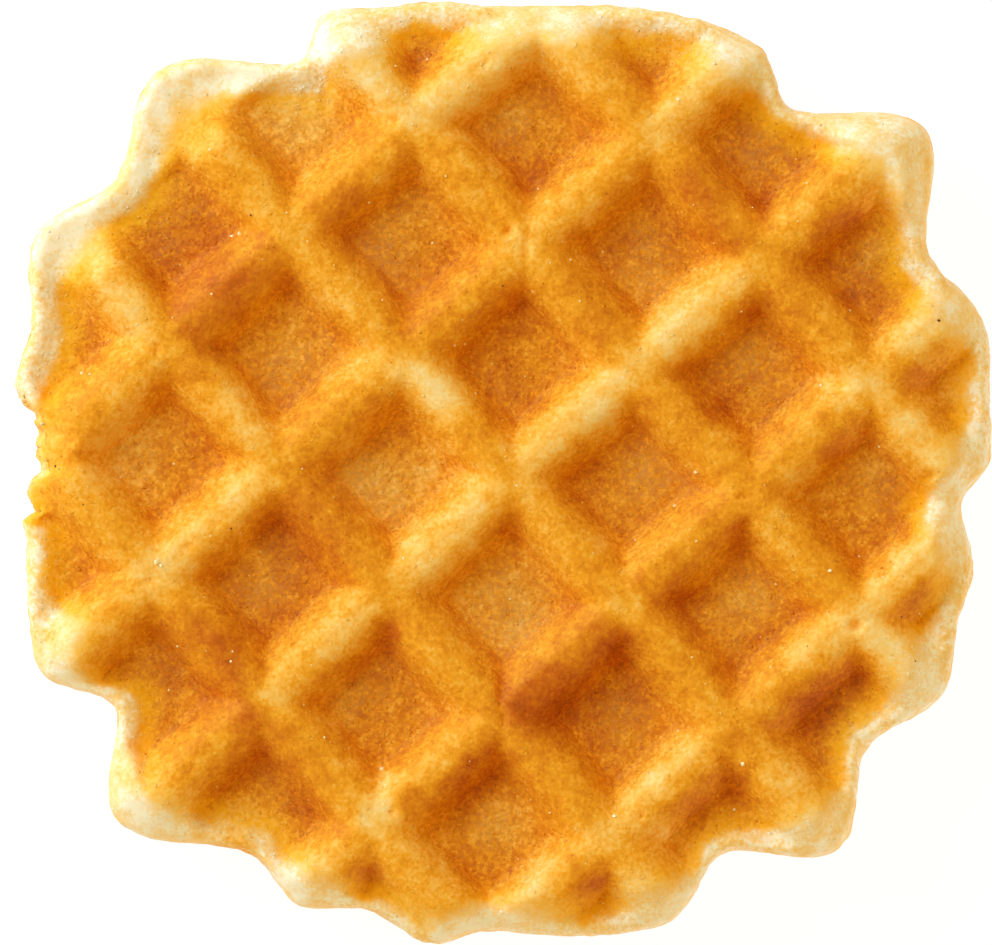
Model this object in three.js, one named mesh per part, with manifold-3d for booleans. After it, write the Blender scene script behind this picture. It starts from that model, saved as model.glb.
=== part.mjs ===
// A round butter waffle, baked between two gridded irons and lying flat with its shown face up.
// Units are millimetres and +Z is up. The origin is the middle of the waffle's bounding box, on the
// plane that its lower ridges rest on. Both faces carry the same grid of ridges round square pockets.
// The dough ran out along the ridges, so the outline has a lobe at a ridge's end and a bay at a pocket.
import * as THREE from "three";
import { mergeVertices } from "three/addons/utils/BufferGeometryUtils.js";
import Module from "manifold-3d";

// Driving dimensions
const THICKNESS = 12; // from the crests below to the crests above
const POCKET_DEPTH = 2.9; // from a crest down to a pocket's floor, on each face
const GRID_PITCH = 13.1; // from one ridge's middle to the next
const GRID_TURN = 41.7; // degrees from +X to the first set of ridges
const GRID_SHIFT = { x: 0.9, y: -0.7 }; // where the two ridges nearest the middle cross
const CREST_HALF = 0.5; // half the width of the flat along a ridge's crest
const WALL_FOOT = 3.25; // from a ridge's middle to where its wall meets the floor
const WALL_CURVE = 1.75; // how the wall falls: 1 is an even slope, and more is a rounder ridge
const RIM_REACH = 0.45; // how far in the edge is rounded, as a share of the half thickness there
const RIM_FULLNESS = 0.5; // how square the edge is: 1 is a quarter ellipse, and less is squarer
const RIM_SAMPLE = 3; // how far in from the edge that half thickness is taken

// The relief dies away near the edge, where the irons let go
const FREE_EDGE = { from: 0.3, to: 3.4 }; // how far in it starts, and how far in it is full
const FREE_DEPTH = 0.75; // the edge's own level, as a share of the pockets' depth

// The outermost ridge at the upper left, which the dough hardly filled
const HOLLOW_RIDGE = { start: { x: -35.5, y: 17.9 }, end: { x: -22.4, y: 32.6 } };
const HOLLOW_REACH = 3.4; // to each side of it
const HOLLOW_SHARE = 0.85; // how much of its height is missing

// Outline: [degrees from +X, mm from the middle] of each lobe and bay, joined by smooth steps
const LOBES_AND_BAYS = [
  [2, 38.6], [6, 38.8], [17, 39.9], [27, 37.9], [39, 43.1], [52, 36.7], [59, 39.4], [91, 36.9],
  [103, 37.9], [111, 39.0], [116, 36.3], [131, 41.9], [143, 38.3], [153, 41.4], [164, 39.0], [169.5, 39.2],
  [187, 38.0], [203, 39.8], [211, 35.9], [222, 41.0], [237, 36.2], [245, 37.8], [253, 36.3],
  [261, 37.7], [268, 36.4], [290, 37.9], [300, 34.8], [312, 39.9], [323, 36.1], [334, 39.0], [342, 37.9],
  [348, 38.0], [356, 36.4],
];

// The stretch where the edge was torn off: [degrees from +X, mm that it bites in there]
const TORN_EDGE = [
  [169.9, 0], [170.7, 0.5], [171.3, 0.65], [172.1, 1.35], [173.2, 1.85], [174.1, 1.85], [175.1, 2.4],
  [176.3, 1.9], [177.2, 1.75], [178.2, 1.85], [179.0, 2.1], [180.2, 1.8], [180.7, 1.05], [182.0, 0.65],
  [183.2, 0.7], [184.4, 0.85], [184.8, 1.15], [185.4, 0.45], [185.8, -0.15], [187.5, 0],
];

// Fineness of the faceted surface
const EDGE_STEP = 3; // degrees from one outline point to the next
const RIM_TURNS = [0, 20, 45, 75]; // degrees up the edge's rounding, from its middle
const WALL_SAMPLES = [0, 0.4, 0.75, 1]; // along a wall, from its crest to its foot
const GRID_REACH = 3; // ridges on each side of the middle one
const CLEARANCE = 0.5; // how far the trimming disc stands above and below the crests

const MIDDLE = THICKNESS / 2;
const RADIANS = Math.PI / 180;

const smoothStep = (t) => t * t * (3 - 2 * t);
const clamp01 = (t) => Math.min(1, Math.max(0, t));

// How far the tear bites in at an angle, by straight lines between its points.
function tearDepth(degrees) {
  const next = TORN_EDGE.findIndex(([angle]) => angle > degrees);
  if (next < 1) return 0;
  const [fromAngle, fromBite] = TORN_EDGE[next - 1];
  const [toAngle, toBite] = TORN_EDGE[next];
  return THREE.MathUtils.mapLinear(degrees, fromAngle, toAngle, fromBite, toBite);
}

// Distance from the middle to the outline at an angle in degrees from 0 to 360.
function edgeRadius(degrees) {
  const count = LOBES_AND_BAYS.length;
  const found = LOBES_AND_BAYS.findIndex(([angle]) => angle > degrees);
  const next = found < 0 ? 0 : found;
  const [fromAngle, fromRadius] = LOBES_AND_BAYS[(next + count - 1) % count];
  const [toAngle, toRadius] = LOBES_AND_BAYS[next];
  const along = ((degrees - fromAngle + 360) % 360) / ((toAngle - fromAngle + 360) % 360);
  return fromRadius + (toRadius - fromRadius) * smoothStep(along) - tearDepth(degrees);
}

// How far the grid is sunk at a distance a from one set of ridges' zero line and b from the other's:
// 0 on a crest and 1 on a pocket's floor. A pocket's four walls meet in mitred corners.
function sunkShare(a, b) {
  const sunk = [a, b].map((along) => {
    const fromRidge = Math.abs(along - GRID_PITCH * Math.round(along / GRID_PITCH));
    return clamp01((fromRidge - CREST_HALF) / (WALL_FOOT - CREST_HALF)) ** WALL_CURVE;
  });
  return Math.min(...sunk);
}

// How much of its height the hollow ridge lacks at a point.
function hollowShare(x, y) {
  const [start, end, point] = [HOLLOW_RIDGE.start, HOLLOW_RIDGE.end, { x, y }].map(
    (place) => new THREE.Vector3(place.x, place.y, 0),
  );
  const nearest = new THREE.Line3(start, end).closestPointToPoint(point, true, new THREE.Vector3());
  return HOLLOW_SHARE * Math.exp(-((nearest.distanceTo(point) / HOLLOW_REACH) ** 4));
}

// Half the waffle's thickness at a point of the grid, with the edge's even level near the edge.
function halfThickness(a, b) {
  const { x, y } = fromGrid(a, b);
  const sunk = 1 - (1 - sunkShare(a, b)) * (1 - hollowShare(x, y));
  const degrees = (Math.atan2(y, x) / RADIANS + 360) % 360;
  const inset = edgeRadius(degrees) - Math.hypot(x, y);
  const held = smoothStep(clamp01((inset - FREE_EDGE.from) / (FREE_EDGE.to - FREE_EDGE.from)));
  return MIDDLE - POCKET_DEPTH * (FREE_DEPTH + (sunk - FREE_DEPTH) * held);
}

// Between the grid's own coordinates and the waffle's.
function fromGrid(a, b) {
  const along = new THREE.Vector2(a, b).rotateAround(new THREE.Vector2(), GRID_TURN * RADIANS);
  return along.add(GRID_SHIFT);
}

function toGrid(x, y) {
  const along = new THREE.Vector2(x, y).sub(GRID_SHIFT);
  return along.rotateAround(new THREE.Vector2(), -GRID_TURN * RADIANS);
}

// Where the relief is sampled across the grid: at each ridge's crest, walls and feet, and last along
// the middle of the pockets beyond the outermost ridges.
function gridStations() {
  const offsets = WALL_SAMPLES.map((share) => CREST_HALF + (WALL_FOOT - CREST_HALF) * share);
  const end = GRID_PITCH * (GRID_REACH + 0.5);
  const stations = [-end, end];
  for (let ridge = -GRID_REACH; ridge <= GRID_REACH; ridge++) {
    for (const offset of offsets) {
      stations.push(ridge * GRID_PITCH - offset, ridge * GRID_PITCH + offset);
    }
  }
  return stations.sort((a, b) => a - b);
}

function geometryOf(positions, triangles) {
  const geometry = new THREE.BufferGeometry();
  geometry.setAttribute("position", new THREE.Float32BufferAttribute(positions, 3));
  geometry.setIndex(triangles);
  return geometry;
}

// A square plate with the relief on both faces, wider than the waffle.
function reliefPlate() {
  const stations = gridStations();
  const side = stations.length;
  const last = side - 1;
  const positions = [];
  for (const face of [1, -1]) {
    for (const a of stations) {
      for (const b of stations) {
        const { x, y } = fromGrid(a, b);
        positions.push(x, y, MIDDLE + face * halfThickness(a, b));
      }
    }
  }
  const top = (i, j) => i * side + j;
  const bottom = (i, j) => side * side + top(i, j);
  const triangles = [];
  const quad = (p, q, r, s) => triangles.push(p, q, r, p, r, s);
  for (let i = 0; i < last; i++) {
    for (let j = 0; j < last; j++) {
      const [a0, a1, b0, b1] = [stations[i], stations[i + 1], stations[j], stations[j + 1]];
      const middle = sunkShare((a0 + a1) / 2, (b0 + b1) / 2);
      const rising = (sunkShare(a0, b0) + sunkShare(a1, b1)) / 2;
      const falling = (sunkShare(a0, b1) + sunkShare(a1, b0)) / 2;
      // Each square is split along the diagonal that lies on the mitre.
      if (Math.abs(rising - middle) < Math.abs(falling - middle)) {
        quad(top(i, j), top(i + 1, j), top(i + 1, j + 1), top(i, j + 1));
        quad(bottom(i, j), bottom(i, j + 1), bottom(i + 1, j + 1), bottom(i + 1, j));
      } else {
        quad(top(i + 1, j), top(i + 1, j + 1), top(i, j + 1), top(i, j));
        quad(bottom(i, j + 1), bottom(i + 1, j + 1), bottom(i + 1, j), bottom(i, j));
      }
    }
  }
  for (let k = 0; k < last; k++) {
    quad(top(k, 0), bottom(k, 0), bottom(k + 1, 0), top(k + 1, 0));
    quad(top(k + 1, last), bottom(k + 1, last), bottom(k, last), top(k, last));
    quad(top(0, k + 1), bottom(0, k + 1), bottom(0, k), top(0, k));
    quad(top(last, k), bottom(last, k), bottom(last, k + 1), top(last, k + 1));
  }
  return geometryOf(positions, triangles);
}

// Angles of the outline's points: even steps, and the torn stretch's own points between them.
function edgeAngles() {
  const torn = TORN_EDGE.map(([angle]) => angle);
  const angles = [...torn];
  for (let angle = 0; angle < 360; angle += EDGE_STEP) {
    if (angle < torn[0] || angle > torn[torn.length - 1]) angles.push(angle);
  }
  return angles.sort((a, b) => a - b);
}

// The edge's upper half at one angle, as [distance in from the outline, height over the middle] pairs:
// a squarish quarter turn as high as the relief that it closes, and then a slope to above the crests.
function edgeProfile(degrees) {
  const sampleRadius = edgeRadius(degrees) - RIM_SAMPLE;
  const x = sampleRadius * Math.cos(degrees * RADIANS);
  const y = sampleRadius * Math.sin(degrees * RADIANS);
  const inGrid = toGrid(x, y);
  const half = halfThickness(inGrid.x, inGrid.y);
  const above = MIDDLE + CLEARANCE;
  const rounding = RIM_TURNS.map((turn) => [
    half * RIM_REACH * (1 - Math.cos(turn * RADIANS) ** RIM_FULLNESS),
    half * Math.sin(turn * RADIANS) ** RIM_FULLNESS,
  ]);
  return [...rounding, [above * RIM_REACH, above]];
}

// The disc that trims the plate to the outline and rounds its edge.
function lobedDisc() {
  const angles = edgeAngles();
  const count = angles.length;
  const ringsEachWay = RIM_TURNS.length;
  const positions = [];
  for (let ring = -ringsEachWay; ring <= ringsEachWay; ring++) {
    for (const angle of angles) {
      const [inset, rise] = edgeProfile(angle)[Math.abs(ring)];
      const radius = edgeRadius(angle) - inset;
      positions.push(radius * Math.cos(angle * RADIANS), radius * Math.sin(angle * RADIANS));
      positions.push(MIDDLE + Math.sign(ring) * rise);
    }
  }
  const below = positions.length / 3;
  const above = below + 1;
  positions.push(0, 0, -CLEARANCE, 0, 0, THICKNESS + CLEARANCE);
  const lastRing = 2 * ringsEachWay * count;
  const triangles = [];
  for (let k = 0; k < count; k++) {
    const next = (k + 1) % count;
    for (let ring = 0; ring < lastRing; ring += count) {
      triangles.push(ring + k, ring + next, ring + count + next);
      triangles.push(ring + k, ring + count + next, ring + count + k);
    }
    triangles.push(below, next, k);
    triangles.push(above, lastRing + k, lastRing + next);
  }
  return geometryOf(positions, triangles);
}

const manifold = await Module();
manifold.setup();

function toSolid(geometry) {
  const merged = mergeVertices(geometry);
  const mesh = new manifold.Mesh({
    numProp: 3,
    vertProperties: merged.attributes.position.array,
    triVerts: new Uint32Array(merged.index.array),
  });
  return new manifold.Manifold(mesh);
}

// The plate trimmed by the disc, moved so that the bounding box's middle is at x = y = 0.
function waffleGeometry() {
  const mesh = toSolid(reliefPlate()).intersect(toSolid(lobedDisc())).getMesh();
  const geometry = geometryOf([...mesh.vertProperties], [...mesh.triVerts]);
  geometry.computeBoundingBox();
  const centre = geometry.boundingBox.getCenter(new THREE.Vector3());
  geometry.translate(-centre.x, -centre.y, 0);
  geometry.computeVertexNormals();
  return geometry;
}

const crust = new THREE.MeshStandardMaterial({
  name: "waffle_crust",
  color: 0xd98a26,
  roughness: 0.62,
  metalness: 0,
});

const waffle = new THREE.Mesh(waffleGeometry(), crust);
waffle.name = "waffle";

const pastryWaffle = new THREE.Group();
pastryWaffle.add(waffle);

export default pastryWaffle;
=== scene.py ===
"""A round butter waffle lying on a pale table, seen from straight above.

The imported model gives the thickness. The waffle's own mesh is worked out from the solid's outline and
grid of ridges, and adds browning, cracks, pits, sugar, flecks and the torn edge's crumbs.
Lengths are in millimetres until they reach Blender, which is in metres. +Z is up.
"""

import bpy
import numpy as np
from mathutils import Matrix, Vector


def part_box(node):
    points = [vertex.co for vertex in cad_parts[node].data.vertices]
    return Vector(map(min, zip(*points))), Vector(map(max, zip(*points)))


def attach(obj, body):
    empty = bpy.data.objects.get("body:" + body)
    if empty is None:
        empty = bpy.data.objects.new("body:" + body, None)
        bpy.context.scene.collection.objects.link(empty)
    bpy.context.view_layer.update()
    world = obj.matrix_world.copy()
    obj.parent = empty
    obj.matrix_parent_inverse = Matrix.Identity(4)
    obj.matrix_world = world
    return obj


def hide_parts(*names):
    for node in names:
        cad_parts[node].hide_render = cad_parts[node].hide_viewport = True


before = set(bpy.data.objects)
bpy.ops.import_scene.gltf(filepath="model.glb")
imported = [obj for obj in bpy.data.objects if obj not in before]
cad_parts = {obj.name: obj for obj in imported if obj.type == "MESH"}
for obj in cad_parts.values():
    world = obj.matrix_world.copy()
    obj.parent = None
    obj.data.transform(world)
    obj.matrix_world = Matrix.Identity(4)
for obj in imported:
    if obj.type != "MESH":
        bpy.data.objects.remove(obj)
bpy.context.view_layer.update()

MM = 0.001
SEED = 7
# Random lumps repeat after this many
LUMP_CELLS = 64

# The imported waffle's own size
LOW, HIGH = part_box("waffle")
THICKNESS = (HIGH.z - LOW.z) / MM
MIDDLE = THICKNESS / 2

# The grid of ridges, as the solid has it: its pitch, its turn, and where the middle crossing lies
GRID_PITCH = 13.1
GRID_TURN = np.radians(41.7)
GRID_SHIFT = np.array([0.90, -0.67])

# The pockets. Their walls start beside the crest and end at the foot, both measured from a ridge's
# middle, and curve by a power. The foot is rounded off over a share of the depth, and a high power
# rounds the pockets' corners slightly.
POCKET_DEPTH = 2.9
CREST_HALF = 0.5
WALL_FOOT = 3.25
WALL_CURVE = 1.75
FOOT_ROUNDING = 0.1
CORNER_POWER = 20

# The rim is rounded off over this share of its half height, by a power that keeps it full. The half
# height is the one at this distance from the edge.
RIM_REACH = 0.45
RIM_FULLNESS = 0.5
RIM_SAMPLE = 3.0

# Shifts that make straight things wander: the size of the lumps, the shift in mm, and a seed that
# the y shift's own follows
RIDGE_WANDER = (6.0, 0.3, 4)
PATCH_WANDER = (2.1, 0.5, 6)
SANDY_WANDER = (1.6, 0.6, 8)
CRACK_WANDER = (0.9, 0.12, 20)

# Outline: degrees from +X and mm from the middle of each lobe and bay, joined by smooth steps
LOBES_AND_BAYS = [
    (2, 38.6), (6, 38.8), (17, 39.9), (27, 37.9), (39, 43.1), (52, 36.7), (59, 39.4), (91, 36.9),
    (103, 37.9), (111, 39.0), (116, 36.3), (131, 41.9), (143, 38.3), (153, 41.4), (164, 39.0),
    (169.5, 39.2), (187, 38.0), (203, 39.8), (211, 35.9), (222, 41.0), (237, 36.2), (245, 37.8),
    (253, 36.3), (261, 37.7), (268, 36.4), (290, 37.9), (300, 34.8), (312, 39.9), (323, 36.1),
    (334, 39.0), (342, 37.9), (348, 38.0), (356, 36.4),
]

# The tear: degrees from +X and how many mm it bites in there, joined by straight lines
TORN_EDGE = [
    (169.9, 0), (170.7, 0.5), (171.3, 0.65), (172.1, 1.35), (173.2, 1.85), (174.1, 1.85),
    (175.1, 2.4), (176.3, 1.9), (177.2, 1.75), (178.2, 1.85), (179.0, 2.1), (180.2, 1.8),
    (180.7, 1.05), (182.0, 0.65), (183.2, 0.7), (184.4, 0.85), (184.8, 1.15), (185.4, 0.45),
    (185.8, -0.15), (187.5, 0),
]
# The bite draws the surface in up to this distance from the edge
TEAR_REACH = 3.0
# Fine crumbs along the tear: their height in mm, radians for each degree, and phase
TEAR_WAVES = [(0.06, 9.1, 0), (0.05, 14.7, 2)]
# The surface is torn where the bite is this deep or deeper, and this fades out between these
# distances in from the edge
TORN_FROM = 0.5
TORN_WITHIN = (1.5, 0.2)

# Fineness of the mesh: rings from the middle out, and the share of them that turn round the rim
TOP_RINGS = 136
RIM_RINGS_SHARE = 0.18

# The photograph's frame: pixels, pixels per millimetre, and the pixel over the waffle's middle
PHOTO_SIZE = (992, 945)
PHOTO_SCALE = 12.65
PHOTO_MIDDLE = (502.5, 472.5)

# The raw cream edge: degrees from +X, and how far in it reaches there, in mm. The tear has none.
RAW_EDGE = [
    (0, 1.9), (9, 1.3), (15, 0.8), (20, 1.9), (30, 1.4), (37, 3.7), (43, 3.4), (50, 0.6), (54, 0.7),
    (57, 2.4), (66, 1.5), (75, 1.4), (83, 1.5), (91, 1.7), (96, 1.4), (101, 0.7), (107, 2.4),
    (112, 2.9), (118, 2.2), (125, 2.5), (133, 2.6), (145, 2.0), (152, 2.3), (160, 1.8), (169, 2.0),
    (171.5, 0.4), (173, -1.2), (185.5, -1.2), (187, 0.8), (194, 1.0), (200, 3.0), (204, 1.8),
    (208, 0.4), (212, 1.6), (218, 2.1), (223, 2.0), (229, 2.1), (235, 1.2), (242, 1.1), (252, 0.2),
    (260, 0.5), (265, 1.0), (270, 1.2), (275, 0.4), (280, 0.5), (286, 1.6), (293, 0.8), (300, 1.0),
    (310, 2.3), (318, 0.8), (325, 1.0), (334, 2.7), (342, 0.8), (348, 0.9), (354, 2.2),
]
# The raw edge is painted paler on the side that faces the key light, as painted light: that side's
# angle, the power that keeps it to that side, and how brown the edge is away from there and right there
PAINTED_LIGHT_SIDE = np.radians(140)
PAINTED_LIGHT_FOCUS = 3
RAW_BROWNING_AND_PAINTED_LIGHT = (0.10, 0.02)
# On that side its rounded outside, which faces the key light, is this much darker, as painted shade that
# tones the lit slope down; this fades out between these distances in from the edge
LIT_SLOPE_PAINTED_SHADE = 0.12
OUTSIDE_WITHIN = (1.2, 0.1)
# All round, its upright side is this much browner, which sets in between these depths under the top
# and fades out between these distances in from the edge
FLANK_BROWNING = 0.22
FLANK_DEPTHS = (3.5, 6.0)
FLANK_WITHIN = (1.0, 0.2)
# Round spots in the raw edge, in photo pixels: x, y, reach in mm, and yellower (+) or paler (-). Some
# yellower ones are painted shade, on a shaded hollow and on slopes that face the key light
RAW_TINT_AND_SHADE_PATCHES = [
    (60, 640, 2.0, 0.15), (135, 780, 2.0, 0.15), (240, 835, 2.6, 0.20), (520, 25, 3.0, 0.15),
    (400, 10, 3.0, 0.10), (600, 10, 3.0, 0.10), (700, 30, 3.0, 0.05), (90, 680, 3.0, -0.10),
    (160, 835, 3.0, -0.10), (290, 890, 3.0, -0.05), (970, 400, 3.0, -0.05),
]
# From the raw edge's inner side, the crust turns yellow within this far on ridges and in pockets, and
# golden between these distances
YELLOW_WITHIN = (2.6, 1.2)
GOLDEN_WITHIN = (0.3, 3.4)
# The share of its full browning that it has once it is yellow, and gains as it turns golden
YELLOW_BROWNED = 0.64
GOLDEN_BROWNED = 0.30

# How brown the baked crust is on a ridge's crest and on a pocket's floor
BAKED_BROWNING = (0.54, 0.685)
# How much darker each mm of a crack's or a pit's depth makes it: painted shade in cracks and pits
CRACK_PAINTED_SHADE = 0.2

# Random lumps in the browning, in the raw edge's width and in its browning: their size in mm, their
# amount, and a seed. The first two share two seeds, so the raw edge is wider beside browner crust.
BROWNING_LUMPS = [(7.0, 0.06, 0), (2.6, 0.085, 1), (1.1, 0.065, 2), (0.55, 0.045, 3)]
RAW_WIDTH_LUMPS = [(2.6, 0.45, 1), (1.1, 0.45, 2)]
RAW_BROWNING_LUMPS = [(1.6, 0.10, 16), (0.6, 0.06, 17)]

# Random lumps in the surface, with heights in mm: all over, finer ones with their gain on ridges and
# in pockets, those near the edge that fade out between these distances, and the torn stretch's
SURFACE_LUMPS = [(4.0, 0.10, 13), (1.6, 0.05, 10)]
FINE_LUMPS = [(0.7, 0.04, 11)]
FINE_GAIN = (1.0, 2.2)
EDGE_LUMPS = [(1.2, 0.10, 18)]
EDGE_LUMPS_WITHIN = (5.0, 1.0)
TORN_LUMPS = [(0.9, 0.25, 14), (0.45, 0.15, 15)]

# Near the edge, where the irons let go, the relief dies away between these distances to an even level
# at this share of the pockets' depth
FREE_EDGE = (0.3, 3.4)
FREE_DEPTH = 0.75

# The outermost ridge at the upper left, which the dough hardly filled: its ends in photo pixels, how
# far it reaches to each side in mm, and the share of its height that is missing
HOLLOW_RIDGE = ((54, 246), (219, 60))
HOLLOW_REACH = 3.4
HOLLOW_SHARE = 0.85

# Patches on ridges and on pockets' floors, in photo pixels: from x, y to x, y, reach in mm, and browner
# (+) or paler (-). Most are baking; some browner ones are painted shade on shaded walls, and some paler
# ones are painted light that lifts shadows
RIDGE_BAKING_AND_SHADE_PATCHES = [
    (185, 322, 262, 258, 2.0, 0.20), (205, 320, 245, 282, 1.0, 0.10), (325, 210, 355, 185, 1.3, 0.15),
    (430, 100, 525, 42, 2.4, -0.20), (65, 635, 85, 625, 2.0, -0.05), (165, 555, 262, 475, 2.2, -0.15),
    (300, 445, 385, 385, 2.2, 0.05), (415, 335, 505, 262, 2.2, 0.10), (705, 85, 740, 60, 2.2, -0.15),
    (200, 755, 245, 725, 2.2, 0.10), (280, 685, 345, 610, 2.2, -0.15), (415, 560, 480, 505, 2.2, -0.20),
    (535, 455, 615, 390, 2.2, -0.20), (655, 345, 740, 275, 2.2, -0.20), (290, 890, 315, 870, 2.0, -0.20),
    (515, 700, 600, 625, 2.0, 0.15), (640, 585, 730, 520, 2.0, 0.10), (915, 335, 955, 300, 1.8, -0.25),
    (515, 915, 545, 880, 2.0, -0.20), (595, 835, 655, 790, 1.8, -0.10), (655, 775, 690, 750, 1.6, -0.20),
    (880, 580, 950, 530, 1.8, -0.20), (95, 260, 140, 325, 2.0, -0.15), (340, 40, 385, 85, 2.4, -0.20),
    (560, 30, 580, 75, 1.8, -0.15), (205, 625, 238, 675, 1.8, 0.30), (300, 500, 370, 565, 2.0, 0.20),
    (410, 370, 435, 390, 1.6, -0.20), (550, 275, 618, 345, 2.0, 0.10), (690, 180, 725, 245, 1.8, 0.20),
    (655, 395, 735, 470, 2.0, 0.05), (780, 290, 845, 355, 2.0, 0.05), (645, 625, 705, 695, 2.0, 0.10),
    (915, 430, 955, 475, 1.8, -0.25), (775, 790, 830, 835, 2.0, -0.15), (890, 650, 935, 700, 2.2, -0.20),
    (640, 880, 685, 915, 2.0, -0.20), (288, 245, 330, 300, 1.6, -0.05), (235, 400, 262, 440, 1.4, -0.10),
    (500, 750, 450, 790, 1.8, 0.25), (620, 645, 525, 705, 1.5, 0.15), (390, 775, 372, 825, 1.2, -0.20),
    (395, 755, 435, 735, 1.6, 0.05), (800, 655, 860, 620, 1.6, -0.10),
]
FLOOR_BAKING_AND_SHADE_PATCHES = [
    (410, 245, 410, 245, 3.4, -0.10), (533, 130, 533, 130, 3.4, -0.10), (375, 485, 415, 470, 3.2, -0.15),
    (644, 253, 644, 253, 3.4, 0.05), (506, 597, 515, 625, 3.4, -0.20), (640, 475, 660, 490, 3.2, -0.10),
    (754, 372, 754, 372, 3.4, -0.05), (617, 721, 617, 721, 3.2, 0.05), (745, 605, 745, 605, 3.4, -0.15),
    (845, 735, 845, 735, 2.6, 0.05), (240, 825, 260, 835, 2.6, -0.20), (299, 116, 299, 116, 3.6, -0.20),
    (286, 350, 286, 350, 3.0, -0.10), (493, 831, 493, 831, 3.0, -0.10), (884, 150, 884, 150, 3.0, -0.10),
    (767, 143, 767, 143, 2.6, 0.05), (149, 694, 149, 694, 2.8, 0.05), (727, 845, 727, 845, 2.4, 0.05),
    (190, 570, 220, 610, 1.6, -0.10), (105, 460, 130, 490, 2.4, -0.10), (170, 240, 215, 235, 2.2, 0.10),
]
# Round spots, in photo pixels: x, y, reach in mm, and browner (+) or paler (-). Most are baking; some
# browner ones are painted shade in shaded pocket corners and walls, and some paler ones, as at 945, 385
# and 135, 430, are painted light that lifts shadows
BAKING_AND_SHADE_SPOTS = [
    (285, 283, 1.4, 0.15), (350, 200, 1.2, 0.10), (105, 410, 0.8, 0.15), (135, 430, 2.0, -0.20),
    (188, 466, 1.6, 0.10), (353, 466, 1.6, -0.10), (522, 305, 1.3, 0.15), (530, 175, 1.2, 0.15),
    (607, 196, 1.0, 0.15), (200, 368, 1.4, 0.15), (418, 60, 1.8, 0.10), (330, 105, 1.2, -0.10),
    (365, 80, 1.0, -0.10), (195, 158, 1.2, -0.10), (416, 123, 2.0, -0.10), (155, 577, 2.0, -0.10),
    (527, 247, 2.0, -0.20), (289, 202, 1.2, 0.10), (482, 125, 1.8, -0.10), (474, 247, 1.6, -0.10),
    (720, 105, 1.1, 0.10), (758, 200, 1.4, 0.15), (820, 232, 1.2, 0.15), (852, 226, 1.2, 0.10),
    (812, 266, 1.4, 0.10), (845, 295, 1.2, 0.10), (885, 245, 1.4, -0.15), (750, 320, 1.4, 0.10),
    (722, 412, 1.5, 0.15), (678, 370, 1.2, 0.10), (832, 452, 1.0, 0.15), (860, 430, 1.4, 0.15),
    (793, 312, 1.1, 0.10), (845, 384, 1.6, -0.15), (872, 384, 1.4, -0.15), (945, 385, 1.4, -0.15),
    (660, 120, 1.5, -0.10), (922, 284, 1.4, 0.15), (640, 340, 1.4, 0.10), (589, 246, 1.6, -0.10),
    (272, 520, 1.5, 0.15), (143, 652, 1.6, -0.15), (387, 633, 1.3, 0.20), (341, 702, 1.6, -0.15),
    (258, 750, 1.6, 0.15), (222, 790, 1.2, 0.10), (285, 735, 1.0, 0.15), (368, 876, 1.4, 0.15),
    (475, 772, 1.8, 0.10), (415, 800, 1.4, 0.15), (512, 530, 1.4, 0.15), (464, 596, 1.4, -0.15),
    (376, 825, 1.8, -0.10), (138, 756, 1.6, -0.15), (505, 738, 1.4, -0.05), (247, 548, 1.4, -0.15),
    (592, 468, 1.6, 0.10), (742, 535, 1.4, 0.10), (686, 600, 1.6, 0.20), (620, 648, 1.4, 0.15),
    (567, 710, 1.6, 0.20), (500, 690, 1.2, 0.10), (623, 604, 1.6, -0.20), (857, 618, 1.8, -0.10),
    (857, 675, 1.5, 0.20), (815, 715, 1.8, 0.20), (760, 715, 1.2, 0.10), (737, 780, 1.4, 0.15),
    (692, 825, 1.6, 0.15), (670, 850, 1.2, 0.10), (733, 740, 1.0, 0.15), (717, 709, 1.4, -0.15),
    (925, 595, 2.0, 0.25), (604, 885, 1.2, 0.20), (580, 908, 1.2, 0.10), (797, 489, 1.4, -0.10),
    (817, 610, 0.9, 0.10), (405, 75, 1.4, 0.15), (75, 275, 1.4, 0.15), (475, 430, 1.6, 0.10),
    (245, 115, 1.6, -0.10), (385, 635, 1.4, 0.10), (250, 715, 1.4, 0.20), (305, 815, 1.4, 0.10),
    (360, 880, 2.0, 0.10), (925, 375, 2.0, 0.15), (945, 420, 1.6, 0.15), (755, 305, 1.4, 0.15),
    (635, 415, 1.4, 0.20), (830, 690, 1.6, 0.20), (800, 700, 1.6, 0.10), (675, 840, 1.6, -0.25),
    (690, 805, 1.6, 0.10), (590, 885, 2.4, 0.15), (620, 895, 1.4, -0.15), (715, 130, 1.6, -0.15),
    (845, 225, 1.6, 0.10), (885, 205, 1.4, -0.15), (435, 835, 1.4, -0.10), (585, 915, 1.4, -0.15),
    (60, 300, 1.2, -0.10), (545, 735, 1.6, 0.20), (525, 710, 1.6, 0.15),
]

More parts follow.
